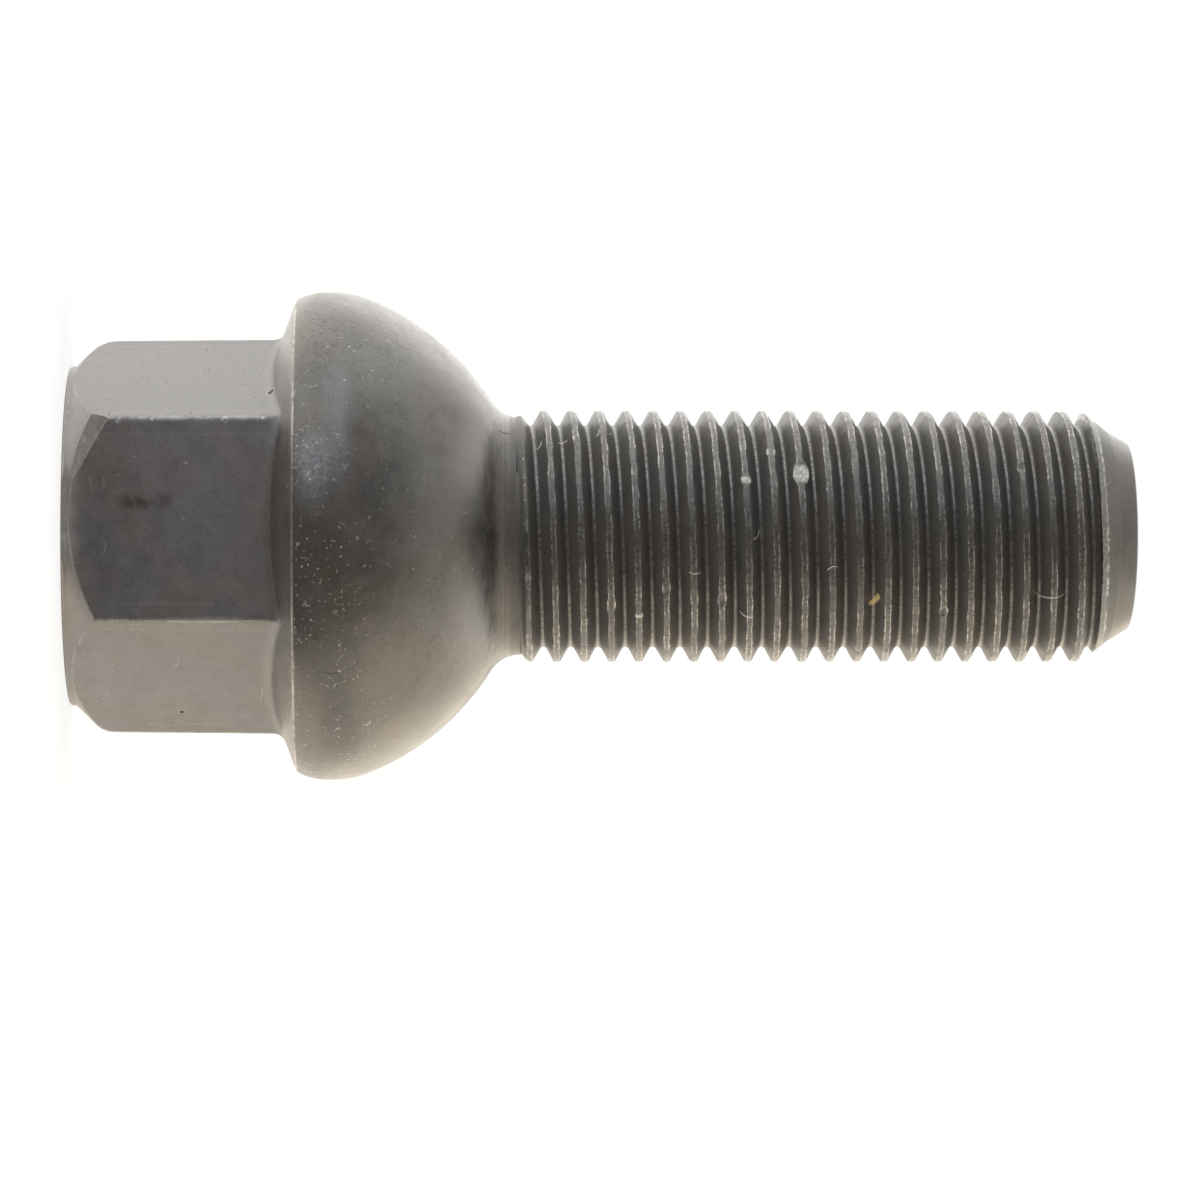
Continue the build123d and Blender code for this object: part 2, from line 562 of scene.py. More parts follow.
def touch(pixel_x, pixel_y):
    """The point, in millimetres, where the line of sight through a pixel meets the bolt."""
    across = (pixel_x - PHOTO_SIZE / 2) / PIXELS_PER_MM
    down = (pixel_y - PHOTO_SIZE / 2) / PIXELS_PER_MM
    sight = forward * CAMERA_DISTANCE + right * across - up * down
    return surface_tree.ray_cast(eye, sight.normalized())[0]


print("middle of the picture, in millimetres:", touch(PHOTO_SIZE / 2, PHOTO_SIZE / 2))

# %% Knocks on the crests
# Pixel, reach of the knock, spread of the crest's edges and sinking of its top,
# these three in millimetres, and polish.
CREST_KNOCKS = [
    (800, 473, 0.78, 0.28, 0.05, 1.0),
    (747, 480, 0.32, 0.10, 0.00, 1.0),
    (772, 452, 0.32, 0.07, 0.00, 0.9),
    (613, 606, 0.50, 0.09, 0.00, 0.9),
    (641, 616, 0.22, 0.04, 0.00, 1.0),
    (668, 588, 0.42, 0.07, 0.00, 0.9),
    (722, 600, 0.45, 0.08, 0.08, 0.5),
    (696, 598, 0.60, 0.04, 0.02, 0.6),
    (939, 610, 0.30, 0.08, 0.06, 0.5),
    (1016, 470, 0.30, 0.08, 0.06, 0.5),
]
SAME_TURN = 0.45


def from_crest(point):
    """How far along the axis a point of the thread is from the nearest crest's middle."""
    angle = math.atan2(point.y, point.x)
    crest = first_crest + PITCH * angle / math.tau
    return (point.z - crest + PITCH / 2) % PITCH - PITCH / 2


def beside(vert, crest_angle, crest_height):
    """How far a vertex is from a place on a crest the way round the axis, or infinity on another turn."""
    if abs(vert.co.z - crest_height) > PITCH * SAME_TURN:
        return math.inf
    around = math.atan2(vert.co.y, vert.co.x) - crest_angle
    return abs((around + math.pi) % math.tau - math.pi) * thread_radius


print("knocks on the crests:", len(CREST_KNOCKS))

# %% Beat the crests flat
KNOCK_MARGIN = 0.3
KNOCK_CUTS = 4
LEVEL_EDGE = 0.3
LEAST_CREST = 0.2

moved = 0
for pixel_x, pixel_y, reach, spread, sink, polish in CREST_KNOCKS:
    knock = touch(pixel_x, pixel_y)
    crest_place = math.atan2(knock.y, knock.x), knock.z - from_crest(knock)
    around = []
    for edge in bolt.edges:
        first, second = edge.verts
        if max(beside(first, *crest_place), beside(second, *crest_place)) > reach + KNOCK_MARGIN:
            continue
        if abs(first.co.z - second.co.z) < edge.calc_length() * LEVEL_EDGE:
            around.append(edge)
    bmesh.ops.subdivide_edges(bolt, edges=around, cuts=KNOCK_CUTS)
    for vert in bolt.verts:
        away = beside(vert, *crest_place)
        if away > reach or vert[crest_layer] < LEAST_CREST:
            continue
        share = 1 - (away / reach) ** 2
        side = min(max(from_crest(vert.co) / CREST_HALF, -1.0), 1.0)
        angle = math.atan2(vert.co.y, vert.co.x)
        radius = math.hypot(vert.co.x, vert.co.y)
        place(vert, angle, radius - sink * share, vert.co.z + side * spread * share)
        shine = polish if polish == 1 else polish * abs(side)
        if vert[crest_layer] > CREST_SHARE[4]:
            vert[edge_layer] = max(vert[edge_layer], share * shine)
        moved += 1
print("crest vertices moved by knocks:", moved)

# %% Cut the facet at the front flat's corner
FACET_FROM = (103, 428)
FACET_TO = (75, 478)
FACET_TILT = math.tan(math.radians(25.0))
FACET_REACH = 6
FACET_RIM = 0.05
FACET_WEAR = 0.78

facet_start = touch(*FACET_FROM)
facet_end = touch(*FACET_TO)
flat_normal = Vector((0, -1, 0))
towards_corner = (facet_end - facet_start).cross(flat_normal).normalized()
if towards_corner.z > 0:
    towards_corner.negate()
near = set()
for face in bolt.faces:
    centre = face.calc_center_median()
    if (centre - facet_start).length < FACET_REACH and centre.z < HEAD_HEIGHT / 2:
        near.update([face, *face.edges, *face.verts])
cut = bmesh.ops.bisect_plane(
    bolt,
    geom=list(near),
    plane_co=facet_start,
    plane_no=flat_normal + FACET_TILT * towards_corner,
    clear_outer=True,
)
rim = [edge for edge in cut["geom_cut"] if isinstance(edge, bmesh.types.BMEdge)]
filled = bmesh.ops.holes_fill(bolt, edges=rim)["faces"]
for edge in rim:
    edge.smooth = False
rim_verts = {vert for edge in rim for vert in edge.verts}
bmesh.ops.inset_region(bolt, faces=filled, thickness=FACET_RIM, use_even_offset=True)
for face in filled:
    for vert in face.verts:
        vert[edge_layer] = FACET_WEAR
for vert in rim_verts:
    off_flat = vert.co.y - facet_start.y
    vert[edge_layer] = 1.0 if off_flat < FACET_RIM else FACET_WEAR
open_edges = [edge for edge in bolt.edges if len(edge.link_faces) != 2]
print("facet of", len(filled), "face,", len(open_edges), "open edges")

# %% [markdown]
# The mesh is finished. It gets four materials by height: the forged head, the ball with the neck, the
# thread and the point.

# %% Make the object
for face in bolt.faces:
    face.smooth = True
    height = face.calc_center_median().z
    if height < HEAD_HEIGHT:
        face.material_index = 0
    elif height < NECK_TOP:
        face.material_index = 1
    elif height < POINT_START:
        face.material_index = 2
    else:
        face.material_index = 3
bmesh.ops.recalc_face_normals(bolt, faces=bolt.faces)
bmesh.ops.scale(bolt, vec=(MM, MM, MM), verts=bolt.verts)
bolt_mesh = bpy.data.meshes.new("forged_bolt")
bolt.to_mesh(bolt_mesh)
bolt.free()
forged_bolt = bpy.data.objects.new("forged_bolt", bolt_mesh)
bpy.context.scene.collection.objects.link(forged_bolt)
print("triangles:", sum(len(face.vertices) - 2 for face in bolt_mesh.polygons))

# %% [markdown]
# ## The finish
#
# Phosphate and oil turn steel nearly black, but it still reflects like a metal: dark where the dark room
# is mirrored and pale grey where the bright surroundings are. So the coat is a metal with a dark,
# slightly warm colour. One material with many masks could cover the whole bolt. Four smaller ones are
# easier to read, and the effects that they share are shader groups: the coat's patches, scattered specks
# and strokes, and the wear of edges. A group gives only colours, masks and heights, and each material has
# its own Principled BSDF.

# %% Helpers for node trees
bpy.context.scene.view_settings.view_transform = "Standard"


def feed(tree, socket, value):
    """Links a value's socket to an input, or sets the input to a constant."""
    if isinstance(value, bpy.types.NodeSocket):
        tree.links.new(value, socket)
    else:
        socket.default_value = value


def calc(tree, operation, first, second=0.0, clamp=False):
    """A Math node's result."""
    node = tree.nodes.new("ShaderNodeMath")
    node.operation = operation
    node.use_clamp = clamp
    feed(tree, node.inputs[0], first)
    feed(tree, node.inputs[1], second)
    return node.outputs[0]


def times(tree, *factors):
    """Several values multiplied."""
    result = factors[0]
    for factor in factors[1:]:
        result = calc(tree, "MULTIPLY", result, factor)
    return result


def strongest(tree, masks):
    """The largest of several masks."""
    result = masks[0]
    for mask in masks[1:]:
        result = calc(tree, "MAXIMUM", result, mask)
    return result


def vector_calc(tree, operation, first, second=(0, 0, 0), result=0):
    """A Vector Math node's result."""
    node = tree.nodes.new("ShaderNodeVectorMath")
    node.operation = operation
    feed(tree, node.inputs[0], first)
    feed(tree, node.inputs[1], second)
    return node.outputs[result]


def part_of(tree, vector, axis):
    """One of a vector's three parts."""
    node = tree.nodes.new("ShaderNodeSeparateXYZ")
    feed(tree, node.inputs[0], vector)
    return node.outputs[axis]


def scaled(tree, vector, factor):
    """A vector or a colour times a number."""
    node = tree.nodes.new("ShaderNodeVectorMath")
    node.operation = "SCALE"
    feed(tree, node.inputs[0], vector)
    feed(tree, node.inputs["Scale"], factor)
    return node.outputs[0]


print("view transform:", bpy.context.scene.view_settings.view_transform)


# %% Helpers for ramps, noise and node groups
FLOAT = "NodeSocketFloat"
VECTOR = "NodeSocketVector"
COLOUR = "NodeSocketColor"


def ramp(tree, value, start, end, low=0.0, high=1.0):
    """A smooth rise of a value from low at start to high at end."""
    node = tree.nodes.new("ShaderNodeMapRange")
    node.interpolation_type = "SMOOTHSTEP"
    limits = {"Value": value, "From Min": start, "From Max": end, "To Min": low, "To Max": high}
    for name, limit in limits.items():
        feed(tree, node.inputs[name], limit)
    return node.outputs["Result"]


def blend(tree, share, first, second, kind="MIX"):
    """Two colours mixed by a share."""
    node = tree.nodes.new("ShaderNodeMix")
    node.data_type = "RGBA"
    node.blend_type = kind
    feed(tree, node.inputs["Factor"], share)
    feed(tree, node.inputs[6], first)
    feed(tree, node.inputs[7], second)
    return node.outputs[2]


def grain(tree, vector, scale, detail=2.0, roughness=0.5, result=0):
    """A noise texture's value, or its colour as result 1; the scale is in lumps to a metre."""
    node = tree.nodes.new("ShaderNodeTexNoise")
    node.inputs["Scale"].default_value = scale
    node.inputs["Detail"].default_value = detail
    node.inputs["Roughness"].default_value = roughness
    feed(tree, node.inputs["Vector"], vector)
    return node.outputs[result]


def new_group(name, inputs, outputs):
    """An empty shader group with its sockets; gives the tree, its inputs and its outputs."""
    tree = bpy.data.node_groups.new(name, "ShaderNodeTree")
    for label, kind, value in inputs:
        socket = tree.interface.new_socket(label, in_out="INPUT", socket_type=kind)
        if value is not None:
            socket.default_value = value
    for label, kind in outputs:
        tree.interface.new_socket(label, in_out="OUTPUT", socket_type=kind)
    return tree, tree.nodes.new("NodeGroupInput").outputs, tree.nodes.new("NodeGroupOutput").inputs


def use_group(tree, group, **values):
    """A group node in a material, with its inputs fed by name; gives its outputs."""
    node = tree.nodes.new("ShaderNodeGroup")
    node.node_tree = group
    for label, value in values.items():
        feed(tree, node.inputs[label], value)
    return node.outputs


print("kinds of sockets:", FLOAT, VECTOR, COLOUR)

# %% [markdown]
# The coat is not even. Wide patches lean to brown or to blue, smaller ones are darker or lighter, and a
# fine grain roughens it. Its height output serves as a bump.

# %% Group for the patchy coat
coat_group, given, wanted = new_group(
    "patchy coat",
    [
        ("Vector", VECTOR, None),
        ("Colour", COLOUR, (0.18, 0.175, 0.165, 1)),
        ("Contrast", FLOAT, 0.5),
        ("Grain", FLOAT, 0.4),
    ],
    [("Colour", COLOUR), ("Roughness", FLOAT), ("Height", FLOAT)],
)
wide = ramp(coat_group, grain(coat_group, given["Vector"], 210, 3.0), 0.38, 0.62)
patches = grain(coat_group, given["Vector"], 750, 5.0, 0.65)
fine = grain(coat_group, given["Vector"], 9000, 2.0)
tint = blend(coat_group, wide, (1.02, 0.995, 0.98, 1), (0.985, 1.0, 1.025, 1))
tinted = blend(coat_group, 1.0, given["Colour"], tint, "MULTIPLY")
patch_swing = times(coat_group, calc(coat_group, "SUBTRACT", patches, 0.5), given["Contrast"])
fine_swing = times(coat_group, calc(coat_group, "SUBTRACT", fine, 0.5), given["Grain"])
swing = calc(coat_group, "ADD", patch_swing, fine_swing)
relief = calc(coat_group, "ADD", times(coat_group, patches, 0.7), times(coat_group, fine, 0.3))
feed(coat_group, wanted["Colour"], scaled(coat_group, tinted, calc(coat_group, "ADD", swing, 1.0)))
feed(coat_group, wanted["Roughness"], ramp(coat_group, patches, 0.3, 0.7, 0.38, 0.48))
feed(coat_group, wanted["Height"], relief)
print("sockets of the coat:", [socket.name for socket in coat_group.interface.items_tree])

# %% [markdown]
# Specks, lint and scratches are all small strokes that lie about at random. They are laid out on the
# surface unrolled: the way round the axis is one direction and the height is the other. Voronoi cells
# give each stroke its place, a random direction and strength, and the chance to be left out. The distance
# from the stroke's own line then makes the mask: a long stroke is a scratch or a fibre, and one as long
# as it is wide is a speck. A little noise is added to the place first, so that the strokes bend and the
# specks are not round.

# %% Group for the unrolled surface
unroll_group, given, wanted = new_group(
    "unrolled",
    [("Vector", VECTOR, None), ("Radius", FLOAT, 0.013)],
    [("Vector", VECTOR)],
)
to_front = times(unroll_group, part_of(unroll_group, given["Vector"], "Y"), -1.0)
way_round = calc(unroll_group, "ARCTAN2", part_of(unroll_group, given["Vector"], "X"), to_front)
joined = unroll_group.nodes.new("ShaderNodeCombineXYZ")
feed(unroll_group, joined.inputs["X"], times(unroll_group, way_round, given["Radius"]))
feed(unroll_group, joined.inputs["Y"], part_of(unroll_group, given["Vector"], "Z"))
feed(unroll_group, wanted["Vector"], joined.outputs[0])
print("nodes that unroll the surface:", len(unroll_group.nodes))

# %% Group for scattered strokes: the nearest stroke's line
FLAT = (1, 1, 0)
HALF = (0.5, 0.5, 0.5)
STROKE_SWAY = 0.28 * MM

stroke_group, given, wanted = new_group(
    "scattered strokes",
    [
        ("Vector", VECTOR, None),
        ("Scale", FLOAT, 1000.0),
        ("Coverage", FLOAT, 0.3),
        ("Length", FLOAT, 0.0003),
        ("Width", FLOAT, 0.00005),
    ],
    [("Mask", FLOAT)],
)
sway = vector_calc(stroke_group, "SUBTRACT", grain(stroke_group, given["Vector"], 3200, result=1), HALF)
bent = vector_calc(stroke_group, "ADD", given["Vector"], scaled(stroke_group, sway, STROKE_SWAY))
cells = stroke_group.nodes.new("ShaderNodeTexVoronoi")
cells.voronoi_dimensions = "2D"
feed(stroke_group, cells.inputs["Vector"], bent)
feed(stroke_group, cells.inputs["Scale"], given["Scale"])
offset = vector_calc(stroke_group, "SUBTRACT", bent, cells.outputs["Position"])
direction = vector_calc(stroke_group, "SUBTRACT", cells.outputs["Color"], HALF)
direction = vector_calc(stroke_group, "MULTIPLY", direction, FLAT)
direction = vector_calc(stroke_group, "NORMALIZE", direction)
along = calc(stroke_group, "ABSOLUTE", vector_calc(stroke_group, "DOT_PRODUCT", offset, direction, 1))
flat_offset = vector_calc(stroke_group, "MULTIPLY", offset, FLAT)
off_line = vector_calc(stroke_group, "CROSS_PRODUCT", flat_offset, direction)
aside = vector_calc(stroke_group, "LENGTH", off_line, result=1)
print("nodes for a stroke's line:", len(stroke_group.nodes))

# %% Group for scattered strokes: which are kept, and how long, wide and strong they are
chance = stroke_group.nodes.new("ShaderNodeTexWhiteNoise")
feed(stroke_group, chance.inputs["Vector"], scaled(stroke_group, cells.outputs["Position"], 1000.0))
kept = calc(stroke_group, "LESS_THAN", chance.outputs["Value"], given["Coverage"])
tone = stroke_group.nodes.new("ShaderNodeSeparateColor")
feed(stroke_group, tone.inputs[0], chance.outputs["Color"])
breadth = times(stroke_group, given["Width"], calc(stroke_group, "ADD", tone.outputs["Blue"], 0.5))
reach = times(stroke_group, given["Length"], calc(stroke_group, "ADD", tone.outputs["Green"], 0.5))
thin = ramp(stroke_group, aside, breadth, times(stroke_group, breadth, 0.4))
short = ramp(stroke_group, along, reach, times(stroke_group, reach, 0.6))
strength = ramp(stroke_group, tone.outputs["Red"], 0.0, 1.0, 0.3, 1.0)
feed(stroke_group, wanted["Mask"], times(stroke_group, thin, short, kept, strength))
print("nodes for the strokes:", len(stroke_group.nodes))

# %% [markdown]
# Edges lose their coat first, and unevenly. The mesh carries how exposed each vertex is, and noise
# decides where the steel shows.

# %% Group for worn edges
wear_group, given, wanted = new_group(
    "worn edges",
    [("Vector", VECTOR, None), ("Exposure", FLOAT, 0.0), ("Amount", FLOAT, 0.5)],
    [("Mask", FLOAT)],
)
small_chips = grain(wear_group, given["Vector"], 2600, 4.0, 0.7)
wide_chips = grain(wear_group, given["Vector"], 420, 2.0)
chips = calc(wear_group, "ADD", small_chips, wide_chips)
push = times(wear_group, given["Exposure"], calc(wear_group, "ADD", chips, given["Amount"]))
feed(wear_group, wanted["Mask"], ramp(wear_group, push, 1.1, 1.45))
print("nodes for the wear:", len(wear_group.nodes))

# %% [markdown]
# Each material starts the same way: an output, a Principled BSDF and the object's own coordinates. Marks
# that the photograph shows singly are placed by their pixels: a spot is measured from the point that the
# pixel shows, and a fibre is a short bent line through that point. Colours that several materials use are
# named here.

# %% Start of a material
COAT = (0.218, 0.21, 0.208, 1)
SEAT = (0.15, 0.144, 0.136, 1)
COAT_METAL = 0.8
BARE_STEEL = (0.36, 0.35, 0.33, 1)
DUST = (0.62, 0.6, 0.56, 1)
# Nearly black: grime and pits, and also the painted shade in the ball's crease.
GRIME_AND_SHADE = (0.03, 0.028, 0.026, 1)


def new_material(name):
    """A node material with a Principled BSDF; gives the material, its tree and the BSDF's inputs."""
    material = bpy.data.materials.new(name)
    material.use_nodes = True
    tree = material.node_tree
    tree.nodes.clear()
    output = tree.nodes.new("ShaderNodeOutputMaterial")
    surface = tree.nodes.new("ShaderNodeBsdfPrincipled")
    tree.links.new(surface.outputs[0], output.inputs["Surface"])
    return material, tree, surface.inputs


def object_vector(tree):
    """The object's own coordinates."""
    return tree.nodes.new("ShaderNodeTexCoord").outputs["Object"]


def axis_distance(tree, vector):
    """How far a place is from the bolt's axis."""
    return vector_calc(tree, "LENGTH", vector_calc(tree, "MULTIPLY", vector, FLAT), result=1)


def vertex_value(tree, name):
    """A value that the mesh carries at its vertices."""
    node = tree.nodes.new("ShaderNodeAttribute")
    node.attribute_name = name
    return node.outputs["Fac"]


def bump(tree, height, strength, distance):
    """A normal that is tilted by a height; the distance is in millimetres."""
    node = tree.nodes.new("ShaderNodeBump")
    node.inputs["Strength"].default_value = strength
    node.inputs["Distance"].default_value = distance * MM
    feed(tree, node.inputs["Height"], height)
    return node.outputs["Normal"]


print("colours of the coat on head and ball:", COAT[:3], SEAT[:3])


# %% Marks for the materials
FIBRE_HALF_WIDTH = 0.035


def strokes(tree, sheet, scale, coverage, length, width):
    """A mask of scattered strokes on the unrolled surface; half length and width in mm."""
    sizes = {"Scale": scale, "Length": length * MM, "Width": width * MM}
    return use_group(tree, stroke_group, Vector=sheet, Coverage=coverage, **sizes)["Mask"]


def spot(tree, vector, pixel, size, soft=0.3, squeeze=(1, 1, 1)):
    """A mask round the point of the bolt that a pixel shows; the size is in millimetres."""
    offset = vector_calc(tree, "SUBTRACT", vector, touch(*pixel) * MM)
    away = vector_calc(tree, "LENGTH", vector_calc(tree, "MULTIPLY", offset, squeeze), result=1)
    return ramp(tree, away, size * MM, size * MM * soft)


def spots(tree, vector, places, soft, grown=1.0):
    """One mask for several spots, each given by its pixel and its size."""
    return strongest(tree, [spot(tree, vector, pixel, size * grown, soft) for pixel, size in places])


def fibre(tree, vector, pixel, half_length, lean, bow, half_width=FIBRE_HALF_WIDTH):
    """A mask along a bent line through a pixel's point; lengths in millimetres, lean in degrees."""
    along_line = right * math.cos(math.radians(lean)) + up * math.sin(math.radians(lean))
    across_line = up * math.cos(math.radians(lean)) - right * math.sin(math.radians(lean))
    offset = vector_calc(tree, "SUBTRACT", vector, touch(*pixel) * MM)
    along = vector_calc(tree, "DOT_PRODUCT", offset, along_line, 1)
    across = vector_calc(tree, "DOT_PRODUCT", offset, across_line, 1)
    sag = times(tree, calc(tree, "POWER", along, 2.0), bow / (half_length ** 2 * MM))
    aside = calc(tree, "ABSOLUTE", calc(tree, "SUBTRACT", across, sag))
    away = vector_calc(tree, "LENGTH", offset, result=1)
    line = ramp(tree, aside, half_width * MM, half_width * MM * 0.4)
    return times(tree, line, ramp(tree, away, half_length * 1.5 * MM, half_length * 1.2 * MM))


def fibres(tree, vector, lines):
    """One mask for several fibres."""
    return strongest(tree, [fibre(tree, vector, *line) for line in lines])


print("a fibre is", 2 * FIBRE_HALF_WIDTH, "mm wide unless another width is given")

# %% [markdown]
# ## The head's coat
#
# The flats are nearly clean: faint patches, two brown smudges on the front flat, small pits on the upper
# one, a little dust and short scratches. The corners are worn along the wrench's grip, and beside each
# corner a faint pale line is painted where the corner's strip bends away from the flat, a painted
# highlight. Smudges and pits could be painted on an image. Here they are masks round points, so nothing has
# to be unwrapped.

# %% Smudges and pits on the head
SMUDGES = [((134, 502), 0.75, 0.7), ((160, 501), 0.8, 0.4)]
SMUDGES += [((240, 560), 1.6, 0.15), ((110, 575), 1.5, 0.15)]
SMUDGE_BROWN = (0.06, 0.042, 0.032, 1)
PITS = [((271, 392), 0.23), ((182, 712), 0.13), ((144, 366), 0.08), ((148, 379), 0.08)]
PITS += [((166, 382), 0.09), ((156, 389), 0.07), ((209, 369), 0.08), ((244, 369), 0.08)]
PITS += [((242, 385), 0.08), ((207, 350), 0.09), ((254, 397), 0.08), ((191, 413), 0.1)]
PITS += [((235, 361), 0.07), ((109, 414), 0.1)]
PIT_BLACK = (0.006, 0.006, 0.006, 1)

head_coat, tree, surface = new_material("head_coat")
vector = object_vector(tree)
height = part_of(tree, vector, "Z")
coat = use_group(tree, coat_group, Vector=vector, Colour=COAT, Contrast=0.7, Grain=0.5)
colour = coat["Colour"]
cloudy = ramp(tree, grain(tree, vector, 1500, 3.0), 0.3, 0.6)
blotchy = ramp(tree, grain(tree, vector, 1100, 4.0, 0.6), 0.34, 0.6)
for pixel, size, depth in SMUDGES:
    smudge = times(tree, spot(tree, vector, pixel, size, 0.1, (1, 1, 0.55)), blotchy, depth)
    colour = blend(tree, smudge, colour, SMUDGE_BROWN)
colour = blend(tree, times(tree, spots(tree, vector, PITS, 0.6, 1.7), 0.6), colour, BARE_STEEL)
colour = blend(tree, spots(tree, vector, PITS, 0.8), colour, PIT_BLACK)
print("smudges:", len(SMUDGES), "pits:", len(PITS))

# %% [markdown]
# The painted highlight line runs along each flat at a fixed distance from its middle, where the corner's
# strip bends. The angle about the axis is folded into one sixth of a turn, so one line serves for all six
# flats.

# %% Painted highlight lines on the flats
BEND_HIGHLIGHT_LINE = ACROSS_FLATS / 2 * math.tan(SIXTH / 2) - STRIP_WIDTH

to_front = times(tree, part_of(tree, vector, "Y"), -1.0)
round_axis = calc(tree, "ARCTAN2", part_of(tree, vector, "X"), to_front)
nearest = calc(tree, "ROUND", calc(tree, "DIVIDE", round_axis, SIXTH))
on_flat = calc(tree, "SUBTRACT", round_axis, times(tree, nearest, SIXTH))
sideways = times(tree, axis_distance(tree, vector), calc(tree, "SINE", on_flat))
off_line = calc(tree, "SUBTRACT", calc(tree, "ABSOLUTE", sideways), BEND_HIGHLIGHT_LINE * MM)
line = ramp(tree, calc(tree, "ABSOLUTE", off_line), 0.11 * MM, 0.02 * MM)
faint = ramp(tree, cloudy, 0.2, 0.9, 0.0, 0.22)
below_foot = ramp(tree, height, 11.4 * MM, 10.6 * MM)
above_chamfer = ramp(tree, height, 2.0 * MM, 2.6 * MM)
# Painted highlight: a faint pale line along the bend of each corner strip, between the chamfer and the
# foot.
colour = blend(tree, times(tree, line, faint, below_foot, above_chamfer), colour, BARE_STEEL)
print(f"die lines {BEND_HIGHLIGHT_LINE:.2f} mm from the middle of each flat")

# %% [markdown]
# Dust lies thicker on the flare, away from the front, than on the flats. Specks, lint and pocks are
# scattered strokes, and the scratches that the photograph shows are fibres. Bare steel shows along the
# exposed edges and in a few nicks of the front flat's upper edge.

# %% Dust, scratches and wear on the head
NICKS = [((225, 419), 0.27), ((118, 421), 0.16), ((152, 419), 0.12), ((263, 418), 0.14)]
NICK_STEEL = (0.56, 0.555, 0.545, 1)
SCRATCHES = [((106, 533), 0.22, 55, 0.03), ((104, 552), 0.4, 65, 0.1), ((178, 663), 0.45, 60, 0.12)]
SCRATCHES += [((262, 695), 0.5, 80, 0.02), ((104, 484), 0.3, 85, 0.05)]

sandy = ramp(tree, grain(tree, vector, 5200, 4.0, 0.7), 0.4, 0.65, 0.03, 0.2)
off_front = calc(tree, "ABSOLUTE", part_of(tree, vector, "X"))
off_front = ramp(tree, off_front, 3 * MM, 9 * MM, 0.25, 2.0)
on_flare = times(tree, ramp(tree, height, 11.0 * MM, 11.8 * MM), sandy, off_front)
sheet = use_group(tree, unroll_group, Vector=vector, Radius=0.01)["Vector"]
pocks = strokes(tree, sheet, 480.0, 0.25, 0.08, 0.06)
colour = blend(tree, times(tree, pocks, 0.75), colour, GRIME_AND_SHADE)
specks = strokes(tree, sheet, 800.0, 0.3, 0.07, 0.06)
lint = strokes(tree, sheet, 300.0, 0.12, 0.4, 0.025)
lines = times(tree, fibres(tree, vector, SCRATCHES), ramp(tree, cloudy, 0.0, 1.0, 0.0, 0.6))
dust = strongest(tree, [specks, lint, lines, on_flare])
edge = vertex_value(tree, "edge")
worn = use_group(tree, wear_group, Vector=vector, Exposure=edge, Amount=0.4)["Mask"]
colour = blend(tree, worn, colour, BARE_STEEL)
broken = ramp(tree, grain(tree, vector, 5000, 3.0), 0.35, 0.55)
colour = blend(tree, times(tree, spots(tree, vector, NICKS, 0.4), broken), colour, NICK_STEEL)
colour = blend(tree, times(tree, dust, 0.6), colour, DUST)
print("nicks:", len(NICKS), "scratches:", len(SCRATCHES))

# %% The head's shader
feed(tree, surface["Base Color"], colour)
feed(tree, surface["Metallic"], times(tree, calc(tree, "SUBTRACT", 1.0, dust), COAT_METAL))
feed(tree, surface["Roughness"], calc(tree, "ADD", coat["Roughness"], 0.03))
feed(tree, surface["Normal"], bump(tree, coat["Height"], 0.3, 0.03))
bolt_mesh.materials.append(head_coat)
print("nodes of the head's coat:", len(tree.nodes))

# %% [markdown]
# ## The ball's coat
#
# The ball has been against other bolts. It has a brown stain. Near the rim a pale bluish sheen is painted
# on, a painted reflection of bluish light, broken up by noise. The crease where the fillet meets the neck
# gets painted shade in dark streaks. On the neck the lathe has left fine lines round the axis, and a
# brighter bluish band is painted there, also a painted reflection.

# %% Lathe lines, stain, painted sheen and painted shade
BROWN_STAIN = (318, 552)
STAIN_BROWN = (0.14, 0.09, 0.077, 1)
# The sheen near the rim and the band on the neck are painted reflections of bluish light: pale bluish
# patches in the colour.
SHEEN_SPOT = (312, 466)
SHEEN_BLUE_GREY = (0.29, 0.308, 0.322, 1)
NECK_SHEEN = (519, 484)
SHEEN_BAND_BLUE = (0.26, 0.28, 0.3, 1)

seat_coat, tree, surface = new_material("seat_coat")
vector = object_vector(tree)
height = part_of(tree, vector, "Z")
coat = use_group(tree, coat_group, Vector=vector, Colour=SEAT, Contrast=0.7, Grain=0.6)
on_neck = ramp(tree, height, 22.4 * MM, 23.4 * MM)
lathe = tree.nodes.new("ShaderNodeTexNoise")
lathe.noise_dimensions = "1D"
lathe.inputs["Detail"].default_value = 3.0
feed(tree, lathe.inputs["W"], times(tree, height, 5200.0))
turned = times(tree, calc(tree, "SUBTRACT", lathe.outputs[0], 0.5), on_neck)
darkened = ramp(tree, on_neck, 0.0, 1.0, 1.0, 0.92)
colour = scaled(tree, coat["Colour"], calc(tree, "ADD", times(tree, turned, 1.2), darkened))
colour = blend(tree, times(tree, spot(tree, vector, BROWN_STAIN, 2.4), 0.35), colour, STAIN_BROWN)
# Painted reflection: a pale bluish sheen near the rim, broken up by noise.
ragged_share = ramp(tree, grain(tree, vector, 4500, 4.0, 0.7), 0.35, 0.65, 0.3, 0.85)
painted_sheen = times(tree, spot(tree, vector, SHEEN_SPOT, 2.3, 0.1, (0.8, 0.8, 1.5)), ragged_share)
colour = blend(tree, painted_sheen, colour, SHEEN_BLUE_GREY)
# Painted reflection: a brighter bluish band round the neck.
painted_band_sheen = times(tree, spot(tree, vector, NECK_SHEEN, 1.7, 0.3, (0.7, 0.7, 6.0)), 0.6)
colour = blend(tree, painted_band_sheen, colour, SHEEN_BAND_BLUE)
